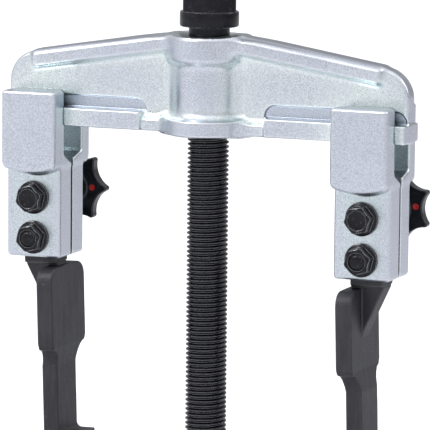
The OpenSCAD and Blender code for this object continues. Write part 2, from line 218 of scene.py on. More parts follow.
def net(field, low, high, h):
    """Quads of a field's zero surface on a grid of spacing h.

    Each crossed cell gives one vertex, which is then moved onto the surface."""
    coarse = 4
    low = np.array(low, float) - 1.5 * h
    cells = np.ceil((np.array(high, float) + 1.5 * h - low) / (coarse * h)).astype(int)
    axes = [low[i] + coarse * h * np.arange(cells[i] + 1) for i in range(3)]
    rough = field(*np.meshgrid(*axes, indexing="ij"))
    near = np.abs(rough) < coarse * h * 1.9
    block = np.zeros(cells, dtype=bool)
    for corner in np.ndindex(2, 2, 2):
        block |= near[tuple(slice(c, c + n) for c, n in zip(corner, cells))]
    size = cells * coarse + 1
    live = np.zeros(size, dtype=bool)
    fine_block = block.repeat(coarse, 0).repeat(coarse, 1).repeat(coarse, 2)
    for corner in np.ndindex(2, 2, 2):
        live[tuple(slice(c, c + n - 1) for c, n in zip(corner, size))] |= fine_block
    sign_from = rough[:-1, :-1, :-1].repeat(coarse, 0).repeat(coarse, 1).repeat(coarse, 2)
    value = np.ones(size)
    value[:-1, :-1, :-1] = np.sign(sign_from) * 1e3
    at = np.argwhere(live)
    p = low + at * h
    value[live] = field(*p.T)
    inside = value < 0

    count = np.zeros(np.prod(size), dtype=np.int32)
    total = np.zeros((np.prod(size), 3))
    faces = []
    stride = np.array([size[1] * size[2], size[2], 1])
    for axis in range(3):
        first = [slice(None)] * 3
        second = [slice(None)] * 3
        first[axis], second[axis] = slice(0, -1), slice(1, None)
        change = inside[tuple(first)] != inside[tuple(second)]
        e = np.argwhere(change)
        b, c = (axis + 1) % 3, (axis + 2) % 3
        e = e[(e[:, b] > 0) & (e[:, c] > 0)]
        nxt = e.copy()
        nxt[:, axis] += 1
        v0, v1 = value[tuple(e.T)], value[tuple(nxt.T)]
        point = e.astype(float)
        point[:, axis] += v0 / (v0 - v1)
        flat = e @ stride
        ring = []
        for db, dc in ((0, 0), (1, 0), (1, 1), (0, 1)):
            cell = flat - db * stride[b] - dc * stride[c]
            ring.append(cell)
            for k in range(3):
                total[:, k] += np.bincount(cell, point[:, k], len(count))
            count += np.bincount(cell, minlength=len(count)).astype(np.int32)
        quad = np.stack(ring, 1)
        quad[v0 < 0] = quad[v0 < 0][:, ::-1]
        faces.append(quad[:, ::-1])
    used = np.flatnonzero(count)
    index = np.full(len(count), -1)
    index[used] = np.arange(len(used))
    verts = low + total[used] / count[used, None] * h
    quads = index[np.concatenate(faces)]
    for _ in range(3):
        verts = slide_onto(field, verts, h)
        verts = even_out(verts, quads)
    verts = slide_onto(field, verts, h)
    verts = slide_onto(field, verts, h)
    return verts, quads


def slide_onto(field, verts, h):
    g = gradient(field, verts, 0.02 * h)
    d = field(*verts.T) / np.maximum((g * g).sum(1), 0.25)
    return verts - g * np.clip(d, -0.5 * h, 0.5 * h)[:, None]


def even_out(verts, quads):
    """Moves each vertex part of the way to the mean of its neighbours."""
    n = len(verts)
    total = np.zeros((n, 3))
    count = np.zeros(n)
    for i in range(4):
        a, b = quads[:, i], quads[:, (i + 1) % 4]
        for k in range(3):
            total[:, k] += np.bincount(a, verts[b, k], n) + np.bincount(b, verts[a, k], n)
        count += np.bincount(a, minlength=n) + np.bincount(b, minlength=n)
    return verts + 0.5 * (total / count[:, None] - verts)


# ---------------------------------------------------------------- objects

def add_object(name, verts, faces, material):
    mesh = bpy.data.meshes.new(name)
    if isinstance(faces, np.ndarray):
        mesh.vertices.add(len(verts))
        mesh.vertices.foreach_set("co", (np.asarray(verts) * MM).ravel())
        mesh.loops.add(faces.size)
        mesh.loops.foreach_set("vertex_index", faces.ravel().astype(np.int32))
        mesh.polygons.add(len(faces))
        mesh.polygons.foreach_set("loop_start", np.arange(0, faces.size, 4, dtype=np.int32))
        mesh.update(calc_edges=True)
    else:
        mesh.from_pydata([tuple(v) for v in np.asarray(verts) * MM], [], faces)
        mesh.update()
    mesh.validate()
    piece = bpy.data.objects.new(name, mesh)
    bpy.context.scene.collection.objects.link(piece)
    mesh.materials.append(material)
    mesh.polygons.foreach_set("use_smooth", np.ones(len(mesh.polygons), dtype=bool))
    return piece


def stand_for(piece, node):
    """The piece rides on its node's body and hides the node."""
    body = next(b for b, nodes in frame["record"]["behaviour"]["bodies"].items() if node in nodes)
    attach(piece, body)
    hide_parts(node)
    return piece


def forged(name, field, low, high, h, material):
    """A piece from a distance field, shaded with the field's own normals."""
    verts, quads = net(field, low, high, h)
    piece = add_object(name, verts, quads, material)
    mesh = piece.data
    normals = gradient(field, verts, 0.1 * h)
    normals /= np.maximum(np.linalg.norm(normals, axis=1), 1e-9)[:, None]
    if len(mesh.vertices) == len(normals):
        mesh.normals_split_custom_set_from_vertices([tuple(v) for v in normals])
    return piece


def ringed(name, rings, material, sharp=35, close=(True, True)):
    """A piece from a list of rings with equal vertex counts; closed ends get a centre vertex."""
    n = len(rings[0])
    verts = [tuple(v) for ring in rings for v in ring]
    faces = []
    for k in range(len(rings) - 1):
        for j in range(n):
            a, b = k * n + j, k * n + (j + 1) % n
            faces.append((a, b, b + n, a + n))
    for end, ring, start in ((close[0], rings[0], 0), (close[1], rings[-1], (len(rings) - 1) * n)):
        if not end:
            continue
        centre = len(verts)
        verts.append(tuple(np.mean(np.array(ring), axis=0)))
        for j in range(n):
            a, b = start + j, start + (j + 1) % n
            faces.append((b, a, centre) if start == 0 else (a, b, centre))
    piece = add_object(name, verts, faces, material)
    piece.data.set_sharp_from_angle(angle=math.radians(sharp))
    return piece


def bush(name, rings, material, sharp):
    """A ringed piece with a through hole: its last ring meets its first."""
    piece = ringed(name, rings, material, sharp, close=(False, False))
    tidy(piece)
    piece.data.set_sharp_from_angle(angle=math.radians(sharp))
    return piece


# ---------------------------------------------------------------- materials

class Nodes:
    """A short way to build a node material."""

    def __init__(self, name):
        self.material = bpy.data.materials.new(name)
        self.material.use_nodes = True
        self.tree = self.material.node_tree
        self.shader = self.tree.nodes["Principled BSDF"]
        self.coordinate = self.tree.nodes.new("ShaderNodeTexCoord").outputs["Object"]

    def put(self, socket, value):
        if isinstance(value, bpy.types.NodeSocket):
            self.tree.links.new(value, socket)
        elif value is not None:
            socket.default_value = value

    def set(self, name, value):
        self.put(self.shader.inputs[name], value)

    def noise(self, scale, detail=2.0, rough=0.5, stretch=None):
        node = self.tree.nodes.new("ShaderNodeTexNoise")
        place = self.coordinate
        if stretch:
            mapping = self.tree.nodes.new("ShaderNodeMapping")
            mapping.inputs["Scale"].default_value = stretch
            self.tree.links.new(place, mapping.inputs["Vector"])
            place = mapping.outputs["Vector"]
        self.tree.links.new(place, node.inputs["Vector"])
        node.inputs["Scale"].default_value = scale
        node.inputs["Detail"].default_value = detail
        node.inputs["Roughness"].default_value = rough
        return node.outputs["Fac"]

    def math(self, operation, a, b=None):
        node = self.tree.nodes.new("ShaderNodeMath")
        node.operation = operation
        self.put(node.inputs[0], a)
        self.put(node.inputs[1], b)
        return node.outputs[0]

    def spread(self, value, low, high, to_low=0.0, to_high=1.0):
        node = self.tree.nodes.new("ShaderNodeMapRange")
        node.inputs["From Min"].default_value = low
        node.inputs["From Max"].default_value = high
        node.inputs["To Min"].default_value = to_low
        node.inputs["To Max"].default_value = to_high
        self.put(node.inputs["Value"], value)
        return node.outputs["Result"]

    def mix(self, factor, a, b, blend="MIX"):
        node = self.tree.nodes.new("ShaderNodeMix")
        node.data_type = "RGBA"
        node.blend_type = blend
        colours = [s for s in node.inputs if s.type == "RGBA"]
        self.put(node.inputs["Factor"], factor)
        self.put(colours[0], a if isinstance(a, bpy.types.NodeSocket) else (*a, 1))
        self.put(colours[1], b if isinstance(b, bpy.types.NodeSocket) else (*b, 1))
        return next(s for s in node.outputs if s.type == "RGBA")

    def pointiness(self):
        return self.tree.nodes.new("ShaderNodeNewGeometry").outputs["Pointiness"]

    def openness(self, distance):
        """1 on open faces, falling towards 0 in corners narrower than distance."""
        node = self.tree.nodes.new("ShaderNodeAmbientOcclusion")
        node.samples = 8
        node.inputs["Distance"].default_value = distance
        return node.outputs["AO"]

    def in_track(self):
        """1 on the walls of the crossbeam's milled tracks."""
        place = self.tree.nodes.new("ShaderNodeSeparateXYZ")
        self.tree.links.new(self.coordinate, place.inputs[0])
        depth = self.math("ABSOLUTE", place.outputs["Y"])
        height = place.outputs["Z"]
        inside = self.spread(depth, (WEB_HALF - 0.2) * MM, (WEB_HALF - 0.6) * MM)
        above = self.spread(height, (RAIL_TOP - 0.1) * MM, RAIL_TOP * MM)
        below = self.spread(height, (TRACK_TOP + 0.1) * MM, TRACK_TOP * MM)
        return self.math("MULTIPLY", inside, self.math("MULTIPLY", above, below))

    def corners(self, radius):
        """1 along convex and concave corners within radius, 0 on flat faces."""
        bevel = self.tree.nodes.new("ShaderNodeBevel")
        bevel.samples = 4
        bevel.inputs["Radius"].default_value = radius
        dot = self.tree.nodes.new("ShaderNodeVectorMath")
        dot.operation = "DOT_PRODUCT"
        flat = self.tree.nodes.new("ShaderNodeNewGeometry").outputs["Normal"]
        self.tree.links.new(bevel.outputs["Normal"], dot.inputs[0])
        self.tree.links.new(flat, dot.inputs[1])
        return self.spread(dot.outputs["Value"], 0.995, 0.93, 0, 1)

    def facing_up(self):
        """1 on faces that look up, 0 on the walls."""
        axes = self.tree.nodes.new("ShaderNodeSeparateXYZ")
        normal = self.tree.nodes.new("ShaderNodeNewGeometry").outputs["Normal"]
        self.tree.links.new(normal, axes.inputs[0])
        return self.spread(axes.outputs["Z"], 0.75, 0.96)

    def bump(self, height, strength, distance):
        node = self.tree.nodes.new("ShaderNodeBump")
        node.inputs["Strength"].default_value = strength
        node.inputs["Distance"].default_value = distance
        self.put(node.inputs["Height"], height)
        return node.outputs["Normal"]


def zinc_material(name, grit, faces, recess_light_tint, milled=None):
    """Zinc plate over a shot-blasted forging: satin faces and fine grit, with painted light: a greenish
    painted light in recesses, painted highlights along edges, painted dark reflections on up-facing faces
    and painted shade in narrow crevices.
    """
    n = Nodes(name)
    cloud = n.noise(45, 3, 0.55)
    grain = n.noise(1700, 2, 0.65)
    fine = n.noise(3600, 1, 0.5)
    edge = n.spread(n.pointiness(), 0.51, 0.58, 0, 1)
    open_wide = n.openness(0.04)
    open_near = n.openness(0.007)
    colour = n.mix(n.spread(cloud, 0.35, 0.65, 0, 0.5), faces, tuple(c * 1.05 for c in faces))
    # Painted light: the colour turns greenish, and on the beam brighter, where the surface is enclosed.
    colour = n.mix(n.spread(open_wide, 0.97, 0.74, 0, 1), colour, recess_light_tint)
    if milled:
        colour = n.mix(n.in_track(), colour, milled)
    colour = n.mix(1.0, colour, n.spread(grain, 0.30, 0.70, 0.70, 1.17), "MULTIPLY")
    # Painted highlight: convex edges turned pale.
    colour = n.mix(n.math("MULTIPLY", edge, 0.7), colour, (0.93, 0.94, 0.95))
    # Painted reflection: up-facing faces darkened in patches, as a dark reflection on the top faces.
    shade = n.math("MULTIPLY", n.facing_up(), n.spread(cloud, 0.30, 0.65, 0.35, 0.75))
    colour = n.mix(shade, colour, (0.36, 0.38, 0.44))
    # Painted shade: narrow crevices and slots darkened nearly to black.
    colour = n.mix(n.spread(open_near, 0.52, 0.15, 0, 0.9), colour, (0.05, 0.06, 0.065))
    n.set("Base Color", colour)
    n.set("Metallic", 1.0)
    rough = n.math("ADD", cloud, n.math("MULTIPLY", grain, 0.5))
    n.set("Roughness", n.spread(rough, 0.5, 1.0, 0.25, 0.38))
    height = n.math("ADD", grain, n.math("MULTIPLY", fine, 0.4))
    n.set("Normal", n.bump(height, grit, 0.00012))
    return n.material


def black_oxide_material(name, tone, rough, patchy, edge_glint):
    """Oiled black oxide: nearly black, slightly blue, with painted highlights on the corners."""
    n = Nodes(name)
    cloud = n.noise(130, 3, 0.6)
    grain = n.noise(2200, 2, 0.5)
    edge = n.corners(0.00035)
    patches = n.spread(n.noise(700, 3, 0.7), 0.60, 0.74, 0, patchy)
    colour = n.mix(n.spread(cloud, 0.3, 0.7), tone, tuple(c * 1.5 for c in tone))
    colour = n.mix(patches, colour, (0.22, 0.22, 0.24))
    # Painted highlight: corners turned pale, as glints on the edges.
    colour = n.mix(n.math("MULTIPLY", edge, edge_glint), colour, (0.55, 0.55, 0.58))
    n.set("Base Color", colour)
    n.set("Metallic", 0.7)
    n.set("Roughness", n.spread(n.math("ADD", grain, cloud), 0.7, 1.3, rough - 0.12, rough + 0.08))
    n.set("Normal", n.bump(n.math("ADD", grain, n.math("MULTIPLY", cloud, 0.4)), 0.30, 0.00010))
    return n.material


def phosphate_material():
    """Dark phosphated steel with small pale scuffs and a few long scratches; painted highlights along the
    edges and painted shade in tight corners.
    """
    n = Nodes("phosphated_leg")
    cloud = n.noise(35, 4, 0.6)
    grain = n.noise(1700, 2, 0.6)
    streak = n.noise(260, 3, 0.6, stretch=(1, 1, 0.15))
    scuff = n.spread(n.noise(420, 3, 0.65), 0.68, 0.74, 0, 0.5)
    edge = n.math("MULTIPLY", n.corners(0.0010), n.spread(cloud, 0.30, 0.60, 0.35, 1.0))
    colour = n.mix(n.spread(cloud, 0.35, 0.65), (0.024, 0.024, 0.030), (0.039, 0.038, 0.045))
    colour = n.mix(n.spread(streak, 0.45, 0.75, 0, 0.35), colour, (0.078, 0.077, 0.086))
    colour = n.mix(scuff, colour, (0.20, 0.19, 0.19))
    # Painted highlight: edges turned pale along the corners.
    colour = n.mix(n.math("MULTIPLY", edge, 0.8), colour, (0.19, 0.185, 0.195))
    # Painted shade: tight corners darkened nearly to black.
    colour = n.mix(n.spread(n.openness(0.006), 0.7, 0.2, 0, 0.8), colour, (0.008, 0.008, 0.009))
    n.set("Base Color", colour)
    n.set("Metallic", 0.35)
    n.set("Roughness", n.spread(grain, 0.3, 0.7, 0.42, 0.58))
    n.set("Normal", n.bump(n.math("ADD", grain, n.math("MULTIPLY", cloud, 0.5)), 0.35, 0.00015))
    return n.material


def plastic_material():
    """Glossy black moulded plastic."""
    n = Nodes("knob_plastic")
    cloud = n.noise(150, 2, 0.5)
    grain = n.noise(900, 2, 0.5)
    n.set("Base Color", n.mix(n.spread(cloud, 0.3, 0.7), (0.006, 0.007, 0.010), (0.011, 0.012, 0.017)))
    n.set("Roughness", n.spread(cloud, 0.3, 0.7, 0.14, 0.24))
    n.set("Specular IOR Level", 0.55)
    n.set("Normal", n.bump(grain, 0.05, 0.0001))
    return n.material


def plain_metal_material(name, colour, rough):
    n = Nodes(name)
    grain = n.noise(1800, 2, 0.5)
    n.set("Base Color", n.mix(n.spread(grain, 0.3, 0.7), colour, tuple(min(1, c * 1.15) for c in colour)))
    n.set("Metallic", 1.0)
    n.set("Roughness", n.spread(grain, 0.3, 0.7, rough - 0.06, rough + 0.08))
    n.set("Normal", n.bump(grain, 0.12, 0.00006))
    return n.material


def marker_material():
    n = Nodes("red_marker")
    grain = n.noise(1500, 2, 0.5)
    n.set("Base Color", n.mix(n.spread(grain, 0.3, 0.7), (0.45, 0.014, 0.012), (0.56, 0.024, 0.016)))
    n.set("Roughness", n.spread(grain, 0.3, 0.7, 0.38, 0.50))
    n.set("Normal", n.bump(grain, 0.1, 0.00008))
    return n.material


ZINC_BEAM = zinc_material("zinc_forging", 0.34, (0.66, 0.69, 0.77), (0.87, 0.95, 0.94), (0.62, 0.67, 0.76))
ZINC_SLIDER = zinc_material("zinc_slider", 0.48, (0.66, 0.69, 0.77), (0.68, 0.76, 0.79))
BLACK_SPINDLE = black_oxide_material("black_spindle", (0.012, 0.012, 0.016), 0.25, 0.25, 0.45)
BLACK_FASTENER = black_oxide_material("black_fastener", (0.012, 0.012, 0.015), 0.24, 0.5, 0.9)
PHOSPHATE = phosphate_material()
PLASTIC = plastic_material()
BRASS = plain_metal_material("knob_brass", (0.70, 0.52, 0.25), 0.32)
WASHER_ZINC = plain_metal_material("zinc_washer", (0.70, 0.72, 0.76), 0.35)
TIP_STEEL = plain_metal_material("hardened_tip", (0.18, 0.18, 0.19), 0.34)
SPRING = plain_metal_material("spring_steel", (0.42, 0.42, 0.43), 0.30)
RED = marker_material()


# ---------------------------------------------------------------- crossbeam

def crossbeam_field(x, y, z):
    ax, ay = np.abs(x), np.abs(y)
    rr = np.hypot(x, y)
    slope = (z - BEAM_TOP + math.tan(SLOPE) * (ax - HUB_FLAT)) * math.cos(SLOPE)
    top = meet(slope, z - BEAM_TOP, 2.0)
    side = meet(slope, ax - WEB_END, END_RADIUS)
    web = meet(np.maximum(np.maximum(side, z - BEAM_TOP), -z), ay - WEB_HALF, 2.2)
    flare = FLANGE_HALF + FLARE * np.clip((FLARE_END - ax) / (FLARE_END - HUB_FLAT), 0, 1)
    under = -(slope + FLANGE_DEPTH)
    flange = meet(meet(top, ay - flare, 2.8), meet(under, ax - FLANGE_END, 3.0), 1.8)
    rail = meet(meet(slab(ax, RAIL_START, RAIL_END), ay - RAIL_HALF, 1.6), slab(z, 0, RAIL_TOP), 1.0)
    neck_slope = (z - NECK_TOP - 0.3 * (NECK_HALF - ay)) * 0.96
    neck = meet(meet(np.maximum(ax - RAIL_START - 4, ay - NECK_HALF), neck_slope, 0.9), -z, 0.8)
    neck = np.maximum(neck, z - RAIL_TOP)
    beam = join(web, flange, 3.2)
    beam = join(beam, neck, 3.0)
    beam = join(beam, rail, 1.4)

    barrel = np.maximum(rr - HUB_R, slab(z, 1, BEAM_TOP - 2))
    plate = meet(rr - HUB_PLATE_R, slab(z, HUB_FOOT, PLATE_TOP), 0.9)
    collar = meet(rr - COLLAR_R, slab(z, COLLAR_FOOT, BEAM_TOP), 2.0)
    beam = join(beam, barrel, 4.5)
    beam = join(beam, plate, 5.0)
    beam = join(beam, collar, 4.0)

    pocket = meet(slab(ax, TRACK_START, TRACK_END), z - TRACK_TOP, 6.0)
    pocket = meet(np.maximum(pocket, RAIL_TOP - z), TRACK_WALL - ay, 0.4)
    beam = cut(beam, pocket, 0.9)
    cone = (rr - BORE_R - (z - BEAM_TOP + COUNTERSINK_R - BORE_R)) * math.sqrt(0.5)
    beam = cut(beam, cone, 0.5)
    return cut(beam, rr - BORE_R, 0.4)


def build_crossbeam():
    piece = forged("crossbeam_forging", crossbeam_field, BEAM_LOW, BEAM_HIGH, 0.75, ZINC_BEAM)
    stand_for(piece, "crossbeam")


# ---------------------------------------------------------------- turned pieces and threads

def circle(r, z, n=96, turn=0.0):
    a = turn + np.arange(n) * 2 * math.pi / n
    return np.stack([r * np.cos(a), r * np.sin(a), np.full(n, float(z))], 1)


def hexagon_radius(angle, flats, softness):
    """Distance from the axis to a hexagon with slightly rounded corners."""
    sector = (angle + math.pi / 6) % (math.pi / 3) - math.pi / 6
    return np.minimum(flats / 2 / np.cos(sector), flats / math.sqrt(3) - softness)


def thread_rows(radius, depth):
    """One pitch of a thread as (share of the pitch, radius): crest, flank, rounded root, flank."""
    crest, root = radius, radius - depth
    return [(0.00, crest), (0.10, crest), (0.16, crest - 0.10 * depth), (0.40, root + 0.14 * depth),
            (0.47, root), (0.55, root), (0.62, root + 0.14 * depth), (0.86, crest - 0.10 * depth),
            (0.92, crest)]


def threaded_rings(radius, pitch, low, high, end_r, n):
    """Rings that follow a right-hand thread from low to high, with a chamfered lower end closed to end_r.

    Each ring rises by one pitch in a turn, so the next turn of the thread meets it row for row."""
    rows = thread_rows(radius, THREAD_DEPTH * pitch)
    per = len(rows)
    turns_low, turns_high = -2, int((high - low) / pitch) + 2
    chamfer = 0.9 * pitch
    angle = np.arange(n) * 2 * math.pi / n
    rings = []
    for k in range(turns_low * per, turns_high * per):
        share, r = rows[k % per]
        z = low + (k // per + share) * pitch + pitch * angle / (2 * math.pi)
        below = np.maximum(low - z, 0)
        r_here = np.minimum(r, radius - chamfer + np.maximum(z - low, 0) * 1.1)
        r_here = np.where(below > 0, np.maximum(radius - chamfer - below * radius / pitch, end_r), r_here)
        z = np.clip(z, low, high)
        rings.append(np.stack([r_here * np.cos(angle), r_here * np.sin(angle), z], 1))
    return rings, per


def threaded_bar(name, thread, ends, end_r, head, n):
    """A black thread with further rings, head, on its upper end.

    The thread is given as radius and pitch. Its seam is closed by its own lead."""
    rings, per = threaded_rings(*thread, *ends, end_r, n)
    verts = np.concatenate(rings)
    count = len(rings)
    faces = []
    for k in range(count - per - 1):
        for j in range(n):
            a = k * n + j
            b = k * n + j + 1 if j < n - 1 else (k + per) * n
            c = b + n
            faces.append((a, b, c, a + n))
    verts = [tuple(v) for v in verts]
    start = len(verts)
    for ring in head:
        verts += [tuple(v) for v in ring]
    for k in range(len(head) - 1):
        for j in range(n):
            a, b = start + k * n + j, start + k * n + (j + 1) % n
            faces.append((a, b, b + n, a + n))
    for ring, flip in ((head[0], True), (head[-1], False)):
        first = start if flip else start + (len(head) - 1) * n
        centre = len(verts)
        verts.append(tuple(np.mean(ring, axis=0)))
        for j in range(n):
            a, b = first + j, first + (j + 1) % n
            faces.append((b, a, centre) if flip else (a, b, centre))
    piece = add_object(name, verts, faces, BLACK_SPINDLE)
    tidy(piece)
    piece.data.set_sharp_from_angle(angle=math.radians(38))
    return piece


def tidy(piece):
    """Merges coincident vertices, which removes empty faces, and drops unused ones."""
    work = bmesh.new()
    work.from_mesh(piece.data)
    bmesh.ops.remove_doubles(work, verts=work.verts, dist=1e-7)
    loose = [v for v in work.verts if not v.link_faces]
    bmesh.ops.delete(work, geom=loose, context="VERTS")
    bmesh.ops.recalc_face_normals(work, faces=work.faces)
    work.to_mesh(piece.data)
    work.free()
    piece.data.polygons.foreach_set("use_smooth", np.ones(len(piece.data.polygons), dtype=bool))


def build_spindle():
    n = 72
    low, high = SPINDLE_LOW[2], BEAM_TOP - 6
    top = SPINDLE_HIGH[2]
    shank = THREAD_R - 0.15
    collar_top = COLLAR_Z + COLLAR_H
    angle = HEX_TURN + np.arange(n) * 2 * math.pi / n

    def ring(r, z):
        return circle(r, z, n, HEX_TURN)

    def hex_ring(z, grow=0.0):
        r = hexagon_radius(angle - HEX_TURN, HEX_FLATS, 0.35) + grow
        return np.stack([r * np.cos(angle), r * np.sin(angle), np.full(n, float(z))], 1)

    chamfer_r = HEX_FLATS / 2 - 0.4
    crown = hexagon_radius(angle - HEX_TURN, HEX_FLATS, 0.35)
    drop = np.maximum(crown - chamfer_r, 0) * math.tan(math.radians(30))
    shoulder = np.stack([crown * np.cos(angle), crown * np.sin(angle), top - 0.25 - drop], 1)
    head = [
        ring(THREAD_R - 1.4, high - 1), ring(shank, high), ring(shank, COLLAR_Z - 0.6),
        ring(shank + 0.5, COLLAR_Z), ring(SPINDLE_COLLAR_R - 0.8, COLLAR_Z),
        ring(SPINDLE_COLLAR_R - 0.3, COLLAR_Z + 0.2), ring(SPINDLE_COLLAR_R, COLLAR_Z + 0.8),
        ring(SPINDLE_COLLAR_R, collar_top - 0.7),
        ring(SPINDLE_COLLAR_R - 0.2, collar_top - 0.2), ring(SPINDLE_COLLAR_R - 0.6, collar_top),
        hex_ring(collar_top + 0.02, 0.02), hex_ring(collar_top + 0.4), shoulder,
        ring(chamfer_r, top - 0.1), ring(chamfer_r - 0.5, top), ring(3.0, top), ring(2.6, top - 0.4),
        ring(1.0, top - 2.4),
    ]
    piece = threaded_bar("spindle_screw", (THREAD_R, THREAD_PITCH), (low, high), TIP_BORE_R, head, n)
    stand_for(piece, "spindle")


def build_tip():
    top, low = TIP_HIGH[2], TIP_LOW[2]
    head_r = TIP_HIGH[0]
    seat = SPINDLE_LOW[2] - 0.2
    head_foot = seat - 5.0
    rings = [
        circle(0.6, low), circle(1.7, low), circle(2.0, low + 0.3),
        circle(head_r - 0.35, head_foot - 0.3), circle(head_r, head_foot + 0.2),
        circle(head_r, seat - 0.5), circle(head_r - 0.15, seat - 0.15), circle(head_r - 0.5, seat),
        circle(TIP_NECK_R + 0.3, seat), circle(TIP_NECK_R, seat + 0.3),
        circle(TIP_NECK_R, RING_LOW[2]), circle(GROOVE_R, RING_LOW[2]),
        circle(GROOVE_R, RING_HIGH[2]), circle(TIP_NECK_R, RING_HIGH[2]),
        circle(TIP_NECK_R, top - 0.8), circle(TIP_NECK_R - 0.8, top),
    ]
    piece = ringed("pressure_tip_turned", rings, TIP_STEEL)
    stand_for(piece, "pressure_tip")


def build_snap_ring():
    inner, outer = GROOVE_R, RING_HIGH[1]
    low, high = RING_LOW[2], RING_HIGH[2]
    gap = math.asin(1.2 / outer)
    steps = 60
    section = [(inner + 0.1, low), (outer - 0.15, low), (outer, low + 0.15), (outer, high - 0.15),
               (outer - 0.15, high), (inner + 0.1, high), (inner, high - 0.1), (inner, low + 0.1)]
    rings = []
    for i in range(steps + 1):
        a = gap + (2 * math.pi - 2 * gap) * i / steps
        rings.append(np.array([(r * math.cos(a), r * math.sin(a), z) for r, z in section]))
    piece = ringed("tip_snap_ring_wire", rings, SPRING)
    stand_for(piece, "tip_snap_ring")


# ---------------------------------------------------------------- sliders

class Side:
    """One slider's place: its centre, and which way is inwards."""

    def __init__(self, name):
        self.name = name
        self.low, self.high = box_mm(f"{name}_front_clamp")
        self.x = (self.low[0] + self.high[0]) / 2
        self.inward = 1.0 if self.x < 0 else -1.0
        self.half_width = (self.high[0] - self.low[0]) / 2
        self.front = self.low[1]
        bolt_low, bolt_high = box_mm(f"{name}_clamp_bolt")
        self.clamp_z = (bolt_low[2] + bolt_high[2]) / 2
        nut_low, nut_high = box_mm(f"{name}_leg_nut")
        self.leg_z = (nut_low[2] + nut_high[2]) / 2

    def local(self, x):
        return (x - self.x) * self.inward


def clamp_field(side, rear):
    block_y = -side.front
    top, bottom = side.high[2], side.low[2]
    sign = 1.0 if rear else -1.0
    if rear:
        ramp = [(GAP_HALF, CAVITY_FLOOR - 2.5), (CAVITY_HALF - 1.5, CAVITY_FLOOR)]
    else:
        ramp = [(GAP_HALF, CAVITY_FLOOR - 5.0), (CAVITY_HALF - 1.2, CAVITY_FLOOR)]
    void = [(-30, bottom - 9), (GAP_HALF, bottom - 9)] + ramp + [
        (CAVITY_HALF, CAVITY_FLOOR + 1.6), (CAVITY_HALF, CAVITY_TOP), (CLAW_INNER, CAVITY_TOP),
        (CLAW_INNER, top + 9), (-30, top + 9)]

    def field(x, y, z):
        u = side.local(x)
        yy = y * sign
        across = np.abs(u) - side.half_width
        smile = np.hypot(u, z - SMILE_Z) - SMILE_R
        block = meet(yy - block_y, smile, 3.2)
        relief = np.abs(u) - side.half_width + 0.6 * np.where(z > 0, CAVITY_HALF - yy, 0)
        block = meet(block, np.maximum(across, relief), 2.2)
        block = meet(block, z - top, 1.8)
        lower = meet(meet(yy - LOWER_HALF, across, 2.2), bottom - z, 2.2)
        lower = np.maximum(lower, z)
        solid = join(block, lower, 2.0)
        broad = np.clip((z - CAVITY_FLOOR + 8) / 5, 0, 1) * np.clip((RAIL_TOP - z) / 3, 0, 1)
        solid = cut(solid, outline(yy, z, void), 0.5 + 1.0 * broad)
        nose = meet(slab(yy, NOSE_INNER, CLAW_INNER + 1), slab(z, CAVITY_TOP, NOSE_TOP), 0.3)
        solid = np.minimum(solid, meet(nose, np.abs(u) - NOSE_HALF, 1.5))
        pocket = np.maximum(np.abs(u) - TANG_HALF_X - TANG_PLAY, yy - TANG_HALF_Y - TANG_ROOM)
        pocket = np.maximum(pocket, z - TANG_TOP - TANG_PLAY)
        solid = cut(solid, pocket, 0.4)
        solid = cut(solid, np.hypot(u, z - side.clamp_z) - BOLT_CLEAR_R, 0.3)
        leg_hole = SHOULDER_CLEAR_R if rear else BOLT_CLEAR_R
        return cut(solid, np.hypot(u, z - side.leg_z) - leg_hole, 0.3)

    return field


def build_clamps(side):
    for part, rear in (("front", False), ("rear", True)):
        node = f"{side.name}_{part}_clamp"
        low, high = box_mm(node)
        piece = forged(f"{node}_half", clamp_field(side, rear), low, high, 0.6, ZINC_SLIDER)
        stand_for(piece, node)


# ---------------------------------------------------------------- legs

